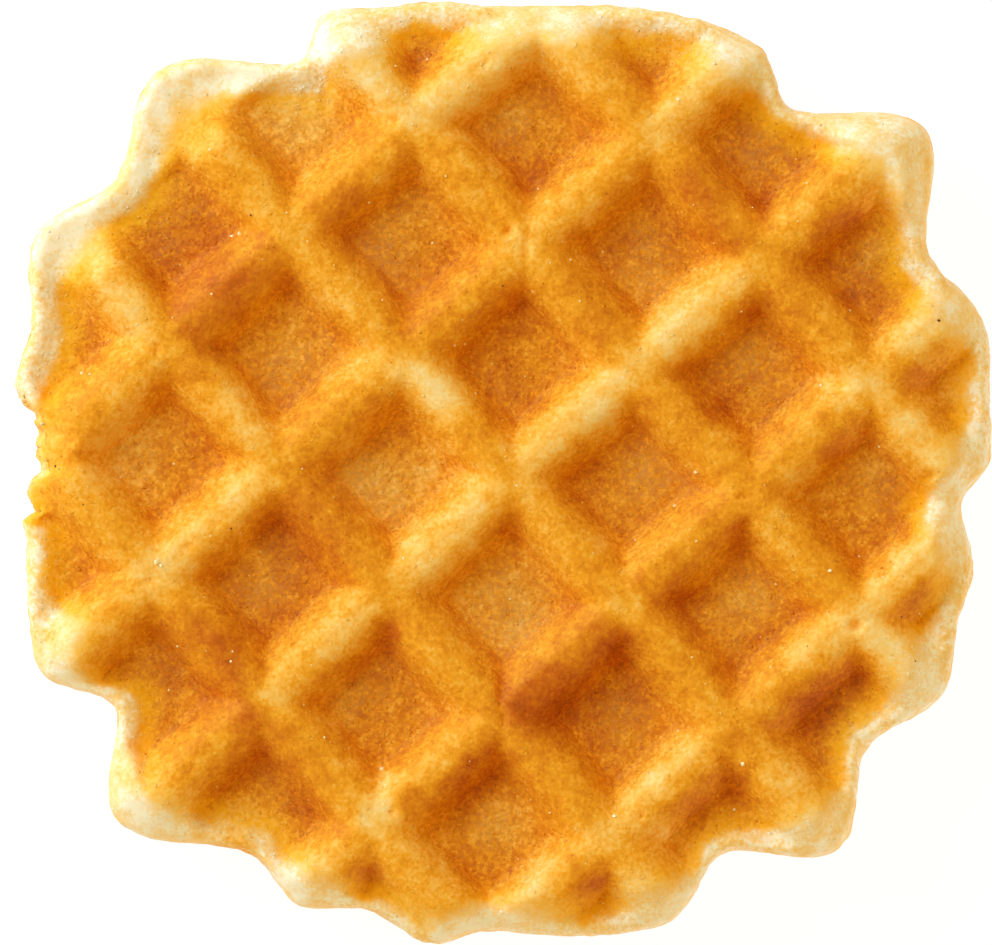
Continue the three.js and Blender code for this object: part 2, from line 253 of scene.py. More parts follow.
# Pale sandy patches on pockets' floors, in photo pixels: x, y, reach in mm, and strength
SANDY_PATCHES = [
    (350, 478, 2.4, 0.9), (395, 500, 2.2, 0.6), (515, 628, 2.6, 1.0), (500, 585, 1.8, 0.5),
    (640, 472, 2.0, 0.6), (690, 480, 1.6, 0.4), (385, 250, 2.4, 0.6), (505, 120, 2.0, 0.6),
    (655, 285, 2.0, 0.6), (640, 240, 1.8, 0.4), (745, 355, 2.0, 0.6), (800, 395, 1.5, 0.4),
    (745, 600, 2.2, 0.7), (880, 475, 1.8, 0.5), (140, 460, 2.0, 0.6), (285, 365, 2.0, 0.6),
    (350, 695, 2.2, 0.6), (495, 825, 2.2, 0.6), (265, 590, 2.0, 0.4), (875, 255, 2.0, 0.5),
    (300, 120, 3.0, 0.7), (750, 155, 2.0, 0.5), (170, 245, 1.8, 0.3), (620, 715, 1.8, 0.3),
]
# Sandiness is this everywhere, with lumps, plus this times a patch's strength. It fades out up a
# pocket's walls by a power.
SANDY_BASE = 0.12
SANDY_LUMPS = [(3.0, 0.12, 12)]
SANDY_GAIN = 0.7
SANDY_FADE = 1.5

# Cracks and creases, in photo pixels: their points, and half width and depth in mm
CRACKS = [
    ([(484, 187), (492, 203), (500, 216), (508, 230)], 0.2, 0.25),
    ([(501, 678), (500, 700), (504, 725)], 0.26, 0.22),
    ([(128, 431), (141, 427)], 0.20, 0.22),
    ([(131, 445), (136, 441)], 0.20, 0.22),
    ([(132, 459), (147, 457)], 0.20, 0.25),
    ([(139, 462), (142, 478)], 0.20, 0.22),
    ([(133, 492), (147, 488)], 0.20, 0.22),
    ([(880, 574), (889, 564)], 0.25, 0.30),
    ([(528, 235), (527, 258)], 0.25, 0.25),
    ([(736, 497), (754, 496)], 0.22, 0.20),
    ([(600, 785), (612, 792)], 0.25, 0.25),
]

# Pits, in photo pixels: x, y, and radius and depth in mm
PITS = [
    (508, 231, 0.40, 0.55), (590, 163, 0.28, 0.40), (395, 122, 0.30, 0.35), (157, 349, 0.45, 0.30),
    (189, 546, 0.40, 0.25), (149, 580, 0.28, 0.35), (855, 626, 0.45, 0.60), (884, 568, 0.30, 0.35),
    (838, 385, 0.30, 0.35), (929, 476, 0.45, 0.25), (941, 525, 0.30, 0.25), (721, 759, 0.35, 0.35),
    (393, 809, 0.25, 0.25), (640, 815, 0.28, 0.30), (500, 905, 0.40, 0.25),
    (487, 63, 0.30, 0.25), (107, 265, 0.28, 0.30), (811, 127, 0.28, 0.30), (218, 525, 0.25, 0.25),
    (205, 380, 0.25, 0.25), (560, 800, 0.25, 0.25), (70, 440, 0.35, 0.30),
]

# Round marks in the middle of pockets, in photo pixels: x, y, and radius and height in mm
RINGS = [
    (638, 470, 0.9, 0.10), (884, 486, 1.0, 0.10), (287, 368, 0.8, 0.10), (744, 352, 0.9, 0.09),
    (352, 702, 1.0, 0.12), (738, 602, 0.9, 0.10), (498, 818, 1.0, 0.12), (402, 250, 0.9, 0.10),
    (506, 592, 0.9, 0.09), (520, 120, 0.8, 0.10), (390, 482, 0.9, 0.10), (880, 268, 1.0, 0.10),
]
RING_WIDTH = 0.35

# Dark flecks, in photo pixels: x, y, and radius in mm
FLECKS = [
    (56, 467, 0.20), (58, 469, 0.12), (61, 455, 0.08), (85, 503, 0.10), (161, 517, 0.10),
    (232, 528, 0.11), (250, 217, 0.14), (504, 285, 0.11), (545, 285, 0.10), (580, 229, 0.08),
    (607, 196, 0.08), (937, 322, 0.17), (899, 617, 0.11), (916, 660, 0.10), (871, 689, 0.10),
    (766, 639, 0.11), (808, 647, 0.08),
]
STRAY_FLECKS = 50
STRAY_FLECK_SIZES = (0.04, 0.07)

# Sugar crystals that catch the light, in photo pixels: x, y, and radius in mm
GLINTS = [
    (240, 233, 0.24), (680, 100, 0.20), (880, 577, 0.20), (828, 571, 0.18), (382, 770, 0.22),
    (675, 505, 0.20), (820, 385, 0.18), (158, 560, 0.24), (83, 373, 0.20), (614, 816, 0.20),
    (744, 764, 0.22), (734, 810, 0.18), (697, 473, 0.18), (162, 566, 0.18), (232, 236, 0.20),
]
STRAY_SUGAR = 120
STRAY_SUGAR_SIZES = (0.06, 0.13)

# Stray crystals and flecks set in between these distances from the edge, in mm
STRAYS_FROM = (1.0, 4.0)

# Grains of baked batter that stand out of the crust: how many, their radii in mm, and how much
# paler than the crust under them
GRAINS = 16000
GRAIN_SIZES = (0.10, 0.24)
GRAINS_PALER = (-0.04, 0.10)
# How thickly they lie on a ridge's crest and on a pocket's floor, how patchy that is, and between
# which distances from the edge they set in
GRAIN_COVER = (0.15, 1.0)
GRAIN_COVER_LUMPS = [(2.0, 0.7, 30)]
GRAINS_FROM = (0.0, 3.0)

# Crumbs along the torn stretch of edge: how many, their radii and how far in they lie, in mm, and
# how brown they are
CRUMBS = 120
CRUMB_SIZES = (0.12, 0.34)
CRUMB_REACH = 1.1
CRUMB_BROWNING = (0.18, 0.4)

# The corners and faces of one grain, the range of its corners' distances, and for each kind the share
# of its height that is left and how far it is sunk into the crust, as a share of its radius
GRAIN_CORNERS = np.vstack([np.eye(3), -np.eye(3)])
GRAIN_FACES = np.array(
    [(0, 1, 2), (1, 3, 2), (3, 4, 2), (4, 0, 2), (1, 0, 5), (3, 1, 5), (4, 3, 5), (0, 4, 5)]
)
GRAIN_UNEVEN = (0.7, 1.3)
GRAIN_SEAT = (0.45, 0.25)
SUGAR_SEAT = (0.8, -0.1)
FLECK_SEAT = (0.4, 0.0)

# What is known at each point of the upper face, by column
POINT = slice(0, 3)
NORMAL = slice(3, 6)
BROWNING_AND_SHADE, SANDINESS, INSET, TORN = 6, 7, 8, 9


def smooth_step(low, high, value):
    """0 at `low` and before, 1 at `high` and beyond. `low` may be the larger of the two."""
    share = np.clip((value - low) / (high - low), 0, 1)
    return share * share * (3 - 2 * share)


def between(pair, share):
    """The pair's first value at share 0, and its second at share 1."""
    first, second = pair
    return first + (second - first) * share


def soft_spot(distance, reach):
    """1 in the middle of a spot, and fading evenly to 0."""
    return np.exp(-((distance / reach) ** 2))


def full_spot(distance, reach):
    """1 in most of a spot, with a soft edge at its reach."""
    return np.exp(-((distance / reach) ** 4))


def from_photo(x, y):
    """Millimetres from the waffle's middle, of a photo pixel."""
    return (x - PHOTO_MIDDLE[0]) / PHOTO_SCALE, (PHOTO_MIDDLE[1] - y) / PHOTO_SCALE


def distance_from(x, y, pixel):
    """Distance of each point from one photo pixel."""
    at_x, at_y = from_photo(*pixel)
    return np.hypot(x - at_x, y - at_y)


def distance_to(x, y, start, end):
    """Distance of each point from the line between two photo pixels."""
    (ax, ay), (bx, by) = from_photo(*start), from_photo(*end)
    squared = (bx - ax) ** 2 + (by - ay) ** 2
    share = ((x - ax) * (bx - ax) + (y - ay) * (by - ay)) / squared if squared else np.zeros_like(x)
    share = np.clip(share, 0, 1)
    return np.hypot(x - ax - share * (bx - ax), y - ay - share * (by - ay))


def linear(red, green, blue):
    """A colour given as 0 to 255 screen values, as Blender's linear values with alpha."""
    shares = np.array([red, green, blue]) / 255
    shares = np.where(shares <= 0.04045, shares / 12.92, ((shares + 0.055) / 1.055) ** 2.4)
    return (*shares.tolist(), 1.0)


def lumps(points, size, seed):
    """Smooth random values from -1 to 1 at 3-D points, with lumps about `size` mm across."""
    table = np.random.default_rng(seed).uniform(-1, 1, (LUMP_CELLS, LUMP_CELLS, LUMP_CELLS))
    scaled = points / size + LUMP_CELLS / 2
    whole = np.floor(scaled).astype(int)
    share = smooth_step(0, 1, scaled - whole)
    total = np.zeros(len(points))
    for corner in np.ndindex(2, 2, 2):
        weight = np.prod(np.where(corner, share, 1 - share), axis=1)
        i, j, k = ((whole + corner) % LUMP_CELLS).T
        total += weight * table[i, j, k]
    return total


def layered(points, layers):
    """The sum of lumps of several sizes, each with its amount and seed."""
    return sum(amount * lumps(points, size, SEED + seed) for size, amount, seed in layers)


def wandered(points, size, shift, seed):
    """The points' x and y, shifted unevenly."""
    x = points[:, 0] + shift * lumps(points, size, SEED + seed)
    y = points[:, 1] + shift * lumps(points, size, SEED + seed + 1)
    return x, y


def patches_at(x, y, patches):
    """The sum of soft patches, each from one photo pixel to another with its reach and amount."""
    total = np.zeros_like(x)
    for x0, y0, x1, y1, reach, amount in patches:
        total += amount * soft_spot(distance_to(x, y, (x0, y0), (x1, y1)), reach)
    return total


def spots_at(x, y, spots):
    """The sum of soft round spots, each at a photo pixel with its reach and amount."""
    total = np.zeros_like(x)
    for px, py, reach, amount in spots:
        total += amount * soft_spot(distance_from(x, y, (px, py)), reach)
    return total


def edge_radius(degrees):
    """Distance from the middle to the outline, without the tear."""
    angles, radii = np.transpose(LOBES_AND_BAYS)
    angles = np.concatenate([[angles[-1] - 360], angles, [angles[0] + 360]])
    radii = np.concatenate([[radii[-1]], radii, [radii[0]]])
    turn = np.mod(degrees, 360)
    piece = np.searchsorted(angles, turn, side="right") - 1
    along = smooth_step(angles[piece], angles[piece + 1], turn)
    return between((radii[piece], radii[piece + 1]), along)


def tear_depth(degrees):
    """How far the tear bites in at an angle, with crumbs along it."""
    angles, bites = np.transpose(TORN_EDGE)
    bite = np.interp(np.mod(degrees, 360), angles, bites, left=0, right=0)
    crumbs = sum(height * np.sin(degrees * rate + phase) for height, rate, phase in TEAR_WAVES)
    return bite + crumbs * smooth_step(0, TORN_FROM, bite)


def torn_share(degrees, inset):
    """1 at the torn stretch of edge, and 0 away from it."""
    return smooth_step(0, TORN_FROM, tear_depth(degrees)) * smooth_step(*TORN_WITHIN, inset)


def grid_distances(x, y):
    """Distance from the nearest ridge's middle in each of the grid's two directions."""
    cos, sin = np.cos(GRID_TURN), np.sin(GRID_TURN)
    dx, dy = x - GRID_SHIFT[0], y - GRID_SHIFT[1]
    along = (dx * cos + dy * sin, dy * cos - dx * sin)
    return [np.abs(each - GRID_PITCH * np.round(each / GRID_PITCH)) for each in along]


def pocket_share(x, y):
    """0 on a ridge's crest and 1 on a pocket's floor. A ridge is a dome whose foot is rounded off."""
    x, y = wandered(np.column_stack([x, y, np.zeros_like(x)]), *RIDGE_WANDER)
    from_middle = [GRID_PITCH / 2 - each for each in grid_distances(x, y)]
    near = GRID_PITCH / 2 - np.linalg.norm(from_middle, CORNER_POWER, axis=0)
    sunk = (np.maximum(near - CREST_HALF, 0) / (WALL_FOOT - CREST_HALF)) ** WALL_CURVE
    over = np.clip(sunk - (1 - FOOT_ROUNDING), 0, 2 * FOOT_ROUNDING)
    return np.minimum(sunk, 1 + FOOT_ROUNDING) - over**2 / (4 * FOOT_ROUNDING)


def relief(x, y, inset):
    """pocket_share as it is in the surface: near the edge it dies away to an even level."""
    hollow = HOLLOW_SHARE * full_spot(distance_to(x, y, *HOLLOW_RIDGE), HOLLOW_REACH)
    sunk = 1 - (1 - pocket_share(x, y)) * (1 - hollow)
    return between((FREE_DEPTH, sunk), smooth_step(*FREE_EDGE, inset))


def ring_grid(rings):
    """A square grid bent into a disc: each point's ring number and its angle in degrees."""
    steps = np.arange(-rings, rings + 1)
    i, j = np.meshgrid(steps, steps, indexing="ij")
    straight = np.arctan2(j, i)
    quarter = np.round(straight / (np.pi / 2)) * np.pi / 2
    angle = quarter + np.pi / 4 * np.tan(straight - quarter)
    return np.maximum(np.abs(i), np.abs(j)).ravel(), np.degrees(angle).ravel()


def face_points(rings, up):
    """One face's points from the middle to the edge, which is rounded off as in the solid."""
    ring, degrees = ring_grid(rings)
    turn = np.radians(degrees)
    edge = edge_radius(degrees)
    sample = edge - RIM_SAMPLE
    sunk = relief(sample * np.cos(turn), sample * np.sin(turn), RIM_SAMPLE)
    half_there = MIDDLE - POCKET_DEPTH * sunk
    reach = RIM_REACH * half_there
    share = ring / rings
    flat = 1 - RIM_RINGS_SHARE
    inside = share / flat * (edge - reach)
    rounding = np.clip((1 - share) / RIM_RINGS_SHARE, 0, 1) * np.pi / 2
    outside = edge - reach * (1 - np.cos(rounding) ** RIM_FULLNESS)
    radius = np.where(share < flat, inside, outside)
    bite = tear_depth(degrees)
    radius = radius - bite * smooth_step(edge - TEAR_REACH, edge, radius)
    x, y = radius * np.cos(turn), radius * np.sin(turn)
    inset = edge - bite - radius
    half = MIDDLE - POCKET_DEPTH * relief(x, y, inset)
    half = half * np.where(share < flat, 1, np.sin(rounding) ** RIM_FULLNESS)
    return np.column_stack([x, y, MIDDLE + up * half]), inset


def waffle_shell():
    """The closed mesh: a fine upper face and a lower face half as fine, joined along the edge.

    They share every second point there, and the lower face's outermost quads also take in the points
    between those.
    """
    top, top_inset = face_points(TOP_RINGS, 1)
    low_rings = TOP_RINGS // 2
    low, low_inset = face_points(low_rings, -1)
    top_side, low_side = 2 * TOP_RINGS + 1, 2 * low_rings + 1
    top_index = np.arange(top_side**2).reshape(top_side, top_side)
    low_index = np.full((low_side, low_side), -1)
    low_index[1:-1, 1:-1] = top_side**2 + np.arange((low_side - 2) ** 2).reshape(low_side - 2, -1)
    own = low_index >= 0
    low_index = np.where(own, low_index, top_index[::2, ::2])
    points = np.vstack([top, low[own.ravel()]])
    inset = np.concatenate([top_inset, low_inset[own.ravel()]])
    quads = np.stack(
        [top_index[:-1, :-1], top_index[1:, :-1], top_index[1:, 1:], top_index[:-1, 1:]], axis=-1
    )
    faces = quads.reshape(-1, 4).tolist()
    last = low_side - 1
    for i in range(last):
        for j in range(last):
            corners = [(i, j), (i, j + 1), (i + 1, j + 1), (i + 1, j)]
            face = []
            for (a, b), (c, d) in zip(corners, corners[1:] + corners[:1]):
                face.append(int(low_index[a, b]))
                on_edge = (a == c and a in (0, last)) or (b == d and b in (0, last))
                if on_edge:
                    halfway = top_index[a + c, b + d]
                    face.append(int(halfway))
            faces.append(face)
    return points, inset, faces


def make_mesh(name, points, faces):
    """A new object in the scene, from points in mm."""
    mesh = bpy.data.meshes.new(name)
    mesh.from_pydata((np.asarray(points) * MM).tolist(), [], faces)
    mesh.update()
    piece = bpy.data.objects.new(name, mesh)
    bpy.context.scene.collection.objects.link(piece)
    return piece


def normals_of(piece):
    """The direction that the mesh faces at each point."""
    normals = np.empty(len(piece.data.vertices) * 3, np.float32)
    piece.data.vertex_normals.foreach_get("vector", normals)
    return normals.reshape(-1, 3)


def move_points(piece, points):
    """Put the mesh's points at new places in mm."""
    piece.data.vertices.foreach_set("co", (points * MM).astype(np.float32).ravel())
    piece.data.update()


def write_attribute(piece, name, values):
    """Keep a value from 0 to 1 at each point, for the material."""
    attribute = piece.data.attributes.new(name, "FLOAT", "POINT")
    attribute.data.foreach_set("value", np.clip(values, 0, 1).astype(np.float32))


def cracks_at(points):
    """How deep the cracks and pits are at each point, in mm."""
    x, y = wandered(points, *CRACK_WANDER)
    depth = np.zeros(len(points))
    for route, width, deep in CRACKS:
        near = np.min([distance_to(x, y, *pair) for pair in zip(route, route[1:])], axis=0)
        depth = np.maximum(depth, deep * soft_spot(near, width))
    for px, py, radius, deep in PITS:
        near = distance_from(x, y, (px, py))
        depth = np.maximum(depth, deep * full_spot(near, radius))
    return depth


def rings_at(points):
    """How high the round marks stand at each point, in mm."""
    x, y, _ = points.T
    height = np.zeros(len(points))
    for px, py, radius, tall in RINGS:
        near = distance_from(x, y, (px, py))
        height += tall * soft_spot(near - radius, RING_WIDTH)
    return height


def baked_shares(points, inset, degrees):
    """How far each point has turned from raw to yellow, and from yellow to golden, from 0 to 1."""
    x, y, _ = points.T
    angles, reach = np.transpose(RAW_EDGE)
    raw = np.interp(np.mod(degrees, 360), angles, reach, period=360)
    raw = raw + layered(points, RAW_WIDTH_LUMPS)
    yellow = smooth_step(0, between(YELLOW_WITHIN, pocket_share(x, y)), inset - raw)
    return yellow, smooth_step(*GOLDEN_WITHIN, inset - raw)


def raw_browning_and_painted_light_of(points, inset, degrees):
    """How brown the raw edge is at each point, with painted light and shade. It doesn't count further
    in.
    """
    x, y, z = points.T
    # Painted light: the raw edge is paler toward the key light's side
    pale = 0.5 + 0.5 * np.cos(np.radians(degrees) - PAINTED_LIGHT_SIDE)
    raw = between(RAW_BROWNING_AND_PAINTED_LIGHT, pale**PAINTED_LIGHT_FOCUS) + layered(points, RAW_BROWNING_LUMPS)
    # Painted shade on the outer slope that faces the key light
    raw += LIT_SLOPE_PAINTED_SHADE * pale * smooth_step(*OUTSIDE_WITHIN, inset)
    flank = smooth_step(*FLANK_DEPTHS, THICKNESS - z) * smooth_step(*FLANK_WITHIN, inset)
    return raw + FLANK_BROWNING * flank + spots_at(x, y, RAW_TINT_AND_SHADE_PATCHES)


def browning_and_shade_of(points, inset, degrees, yellow, golden):
    """How brown each point is, 0 raw and cream to 1 dark brown: baking, with some painted shade and
    light.
    """
    x, y, _ = points.T
    baked_and_shaded = between(BAKED_BROWNING, pocket_share(x, y)) + layered(points, BROWNING_LUMPS)
    wandered_x, wandered_y = wandered(points, *PATCH_WANDER)
    # Patches and spots: baking, with painted shade on some shaded walls and corners, and painted light
    # that lifts some shadows
    baked_and_shaded += patches_at(wandered_x, wandered_y, RIDGE_BAKING_AND_SHADE_PATCHES + FLOOR_BAKING_AND_SHADE_PATCHES)
    baked_and_shaded += spots_at(wandered_x, wandered_y, BAKING_AND_SHADE_SPOTS)
    baked_and_shaded *= YELLOW_BROWNED * yellow + GOLDEN_BROWNED * golden
    brown = baked_and_shaded + (1 - yellow) * raw_browning_and_painted_light_of(points, inset, degrees)
    # Painted shade in cracks and pits, darker by their depth
    return np.clip(brown, 0, 1) + CRACK_PAINTED_SHADE * cracks_at(points)


def sandiness_of(points):
    """How sandy and pale each point of the pockets' floors is."""
    x, y, _ = points.T
    sandy = SANDY_BASE + layered(points, SANDY_LUMPS)
    sandy += SANDY_GAIN * spots_at(*wandered(points, *SANDY_WANDER), SANDY_PATCHES)
    return sandy * pocket_share(x, y) ** SANDY_FADE


def add_waffle():
    """The crust, with its colour attributes, and what is known at each point of its upper face."""
    points, inset, faces = waffle_shell()
    piece = make_mesh("waffle_crust", points, faces)
    x, y, _ = points.T
    degrees = np.degrees(np.arctan2(y, x))
    pocket = pocket_share(x, y)
    torn = torn_share(degrees, inset)
    rise = layered(points, SURFACE_LUMPS)
    rise += layered(points, FINE_LUMPS) * between(FINE_GAIN, pocket)
    rise += layered(points, EDGE_LUMPS) * smooth_step(*EDGE_LUMPS_WITHIN, inset)
    rise += layered(points, TORN_LUMPS) * torn
    upper = points[:, 2] > MIDDLE
    rise += np.where(upper, rings_at(points) - cracks_at(points), 0)
    moved = points + normals_of(piece) * rise[:, None]
    moved[:, 2] = np.maximum(moved[:, 2], 0)
    move_points(piece, moved)
    piece.data.shade_smooth()
    yellow, golden = baked_shares(points, inset, degrees)
    browning_and_shade = browning_and_shade_of(points, inset, degrees, yellow, golden)
    sandiness = sandiness_of(points)
    # The browning attribute also carries painted shade and painted light from patches, spots, cracks and
    # the raw edge
    write_attribute(piece, "browning_and_shade", browning_and_shade)
    write_attribute(piece, "yellowness", yellow * (1 - golden))
    write_attribute(piece, "sandiness", sandiness)
    write_attribute(piece, "coarseness", between(COARSENESS, pocket))
    piece.data.materials.append(crust_material("waffle_crust", SCATTER))
    known = np.column_stack([moved, normals_of(piece), browning_and_shade, sandiness, inset, torn])
    side = 2 * TOP_RINGS + 1
    return piece, known[: side**2].reshape(side, side, -1)


def scatter(surface, count, weight, rng):
    """Random places on the upper face: each one's row of everything that is known there."""
    corners = [surface[:-1, :-1], surface[1:, :-1], surface[1:, 1:], surface[:-1, 1:]]
    corners = [corner.reshape(-1, surface.shape[-1]) for corner in corners]
    points = [corner[:, POINT] for corner in corners]
    across = np.cross(points[2] - points[0], points[3] - points[1])
    chance = np.linalg.norm(across, axis=1) * weight(np.mean(corners, axis=0))
    chosen = rng.choice(len(chance), count, p=chance / chance.sum())
    i, j = rng.random((2, count, 1))
    shares = [(1 - i) * (1 - j), i * (1 - j), i * j, (1 - i) * j]
    return sum(share * corner[chosen] for share, corner in zip(shares, corners))


def nearest(surface, spots):
    """What is known at the upper face's points nearest to spots given in photo pixels."""
    rows = surface.reshape(-1, surface.shape[-1])
    found = [np.argmin(distance_from(rows[:, 0], rows[:, 1], (x, y))) for x, y, _ in spots]
    return rows[found]


def floor_cover(rows):
    """How thickly grains lie at each place: mostly on the pockets' floors, in patches."""
    cover = between(GRAIN_COVER, pocket_share(rows[:, 0], rows[:, 1]))
    patchy = 1 + layered(rows[:, POINT], GRAIN_COVER_LUMPS)
    return cover * patchy * smooth_step(*GRAINS_FROM, rows[:, INSET])


def tear_cover(rows):
    """How thickly crumbs lie at each place: along the tear."""
    return rows[:, TORN] * smooth_step(CRUMB_REACH, 0, rows[:, INSET])


def stray_cover(rows):
    """How thickly stray specks lie at each place: evenly, but for the edge."""
    return smooth_step(*STRAYS_FROM, rows[:, INSET])


def add_grains(name, places, sizes, seat, rng):
    """One mesh of small uneven eight-sided grains, each squashed along the crust's normal."""
    count, corners = len(places), len(GRAIN_CORNERS)
    squash, sunk = seat
    turns = np.linalg.qr(rng.normal(size=(count, 3, 3)))[0]
    local = GRAIN_CORNERS * rng.uniform(*GRAIN_UNEVEN, (count, corners, 1)) @ turns
    normals = places[:, None, NORMAL]
    normals = normals / np.linalg.norm(normals, axis=-1, keepdims=True)
    rise = np.sum(local * normals, axis=-1, keepdims=True)
    local = local - (1 - squash) * rise * normals
    points = places[:, None, POINT] + sizes[:, None, None] * (local - sunk * normals)
    mirrored = np.linalg.det(turns)[:, None, None] < 0
    faces = np.where(mirrored, GRAIN_FACES[:, ::-1], GRAIN_FACES)
    faces = faces + corners * np.arange(count)[:, None, None]
    return make_mesh(name, points.reshape(-1, 3), faces.reshape(-1, 3).tolist())


def add_crust_grains(name, places, sizes, browning_and_shade, scatter_weight, rng):
    """Grains of the crust's own material."""
    piece = add_grains(name, places, sizes, GRAIN_SEAT, rng)
    write_attribute(piece, "browning_and_shade", np.repeat(browning_and_shade, len(GRAIN_CORNERS)))
    write_attribute(piece, "sandiness", np.repeat(places[:, SANDINESS], len(GRAIN_CORNERS)))
    piece.data.shade_smooth()
    piece.data.materials.append(crust_material(name, scatter_weight))
    return piece


def add_specks(name, surface, listed, strays, stray_sizes, seat, rng):
    """Grains at the listed photo pixels, and stray ones."""
    places = np.vstack([nearest(surface, listed), scatter(surface, strays, stray_cover, rng)])
    sizes = [size for _, _, size in listed]
    sizes = np.concatenate([sizes, rng.uniform(*stray_sizes, strays)])
    return add_grains(name, places, sizes, seat, rng)


def add_toppings(surface):
    """Everything small on the crust: its grains, the tear's crumbs, sugar crystals and dark flecks."""
    rng = np.random.default_rng(SEED)
    places = scatter(surface, GRAINS, floor_cover, rng)
    sizes = rng.uniform(*GRAIN_SIZES, GRAINS)
    browning_and_shade = places[:, BROWNING_AND_SHADE] - rng.uniform(*GRAINS_PALER, GRAINS)
    grains = add_crust_grains("crust_grains", places, sizes, browning_and_shade, GRAIN_SCATTER, rng)
    places = scatter(surface, CRUMBS, tear_cover, rng)
    sizes = rng.uniform(*CRUMB_SIZES, CRUMBS)
    browning_and_shade = rng.uniform(*CRUMB_BROWNING, CRUMBS)
    crumbs = add_crust_grains("torn_crumbs", places, sizes, browning_and_shade, SCATTER, rng)
    sugar = add_specks(
        "sugar_crystals", surface, GLINTS, STRAY_SUGAR, STRAY_SUGAR_SIZES, SUGAR_SEAT, rng
    )
    sugar.data.materials.append(plain_material("sugar", SUGAR_COLOUR, SUGAR_ROUGHNESS))
    flecks = add_specks(
        "dark_flecks", surface, FLECKS, STRAY_FLECKS, STRAY_FLECK_SIZES, FLECK_SEAT, rng
    )
    flecks.data.materials.append(plain_material("burnt_fleck", FLECK_COLOUR, FLECK_ROUGHNESS))
    return [grains, crumbs, sugar, flecks]


def new_material(name):
    """A new material, its nodes and links, and its shader."""
    material = bpy.data.materials.new(name)
    material.use_nodes = True
    nodes = material.node_tree.nodes
    return material, nodes, material.node_tree.links, nodes["Principled BSDF"]


# Light that spreads inside the crust: its share there and in the grains, and how far red, green and
# blue go, in mm
SCATTER = 0.5
GRAIN_SCATTER = 0.0
SCATTER_REACH = (2.2, 1.0, 0.4)
SCATTER_METHOD = "BURLEY"
ROUGHNESS = 0.6
GLOSS = 0.1

# The crust's colour by how brown it is, as screen values of red, green and blue
CRUST_COLOURS = [
    (0.00, (255, 236, 206)),
    (0.12, (255, 217, 158)),
    (0.24, (254, 204, 122)),
    (0.36, (255, 187, 84)),
    (0.50, (247, 161, 34)),
    (0.64, (227, 133, 22)),
    (0.80, (206, 102, 18)),
    (1.00, (168, 68, 12)),
]
YELLOW_COLOUR = (255, 178, 10)
YELLOW_SHARE = 0.8

# Fine changes of browning: the size in mm, detail and amount of a fine grain and of a mottle, the size
# and amount of crystals, and the share of grain and crystals on ridges and in pockets
FINE_SIZE = 0.40
FINE_DETAIL = 2
FINE_AMOUNT = 0.4
MOTTLE_SIZE = 1.3
MOTTLE_DETAIL = 1
MOTTLE_AMOUNT = 0.2
CRYSTAL_SIZE = 0.24
CRYSTAL_AMOUNT = 0.28
COARSENESS = (0.52, 0.94)

# The grain's bumps, with their height in mm
BUMP_STRENGTH = 0.5
BUMP_HEIGHT = 0.1

# Sandy patches turn to this colour by their sandiness, this share, and the grain's specks, which are
# its noise with more contrast
SANDY_COLOUR = (222, 168, 92)
SANDY_SHARE = 0.7
SPECK_CONTRAST = 3.0
SPECK_OFFSET = -0.9

SUGAR_COLOUR = (255, 232, 176)
SUGAR_ROUGHNESS = 0.25
FLECK_COLOUR = (104, 52, 20)
FLECK_ROUGHNESS = 0.6


def plain_material(name, colour, roughness):
    """A material of one colour, given as screen values."""
    material, _, _, shader = new_material(name)
    shader.inputs["Base Color"].default_value = linear(*colour)
    shader.inputs["Roughness"].default_value = roughness
    return material


def noise_node(nodes, links, place, size, detail):
    """Noise with features about `size` mm across."""
    noise = nodes.new("ShaderNodeTexNoise")
    noise.inputs["Scale"].default_value = 1 / (size * MM)
    noise.inputs["Detail"].default_value = detail
    links.new(place.outputs["Object"], noise.inputs["Vector"])
    return noise.outputs["Fac"]


def crystal_node(nodes, links, place, size):
    """Cells about `size` mm across, each with its own random value."""
    cells = nodes.new("ShaderNodeTexVoronoi")
    cells.inputs["Scale"].default_value = 1 / (size * MM)
    links.new(place.outputs["Object"], cells.inputs["Vector"])
    return cells.outputs["Color"]


def math_node(nodes, links, operation, *inputs):
    """A math node whose inputs are numbers or other nodes' outputs."""
    node = nodes.new("ShaderNodeMath")
    node.operation = operation
    for socket, value in zip(node.inputs, inputs):
        if isinstance(value, (int, float)):
            socket.default_value = value
        else:
            links.new(value, socket)
    return node.outputs[0]


def centred_node(nodes, links, value, amount):
    """A value from 0 to 1 as a change of at most half of `amount` up or down."""
    return math_node(nodes, links, "MULTIPLY_ADD", value, amount, -amount / 2)


def mix_node(nodes, links, share, first, second):
    """The first colour turned by `share` to the second, which is given as screen values."""
    mix = nodes.new("ShaderNodeMix")
    mix.data_type = "RGBA"
    links.new(share, mix.inputs["Factor"])
    links.new(first, mix.inputs["A"])
    mix.inputs["B"].default_value = linear(*second)
    return mix.outputs["Result"]


def ramp_node(nodes, links, value, colours):
    """A colour that follows a value through a list of positions and screen values."""
    ramp = nodes.new("ShaderNodeValToRGB")
    stops = ramp.color_ramp.elements
    for position, _ in colours[1:-1]:
        stops.new(position)
    for stop, (_, colour) in zip(stops, colours):
        stop.color = linear(*colour)
    links.new(value, ramp.inputs["Fac"])
    return ramp.outputs["Color"]


def attribute_node(nodes, name):
    """The value that write_attribute kept at each point, or 0 where there is none."""
    node = nodes.new("ShaderNodeAttribute")
    node.attribute_name = name
    return node.outputs["Fac"]


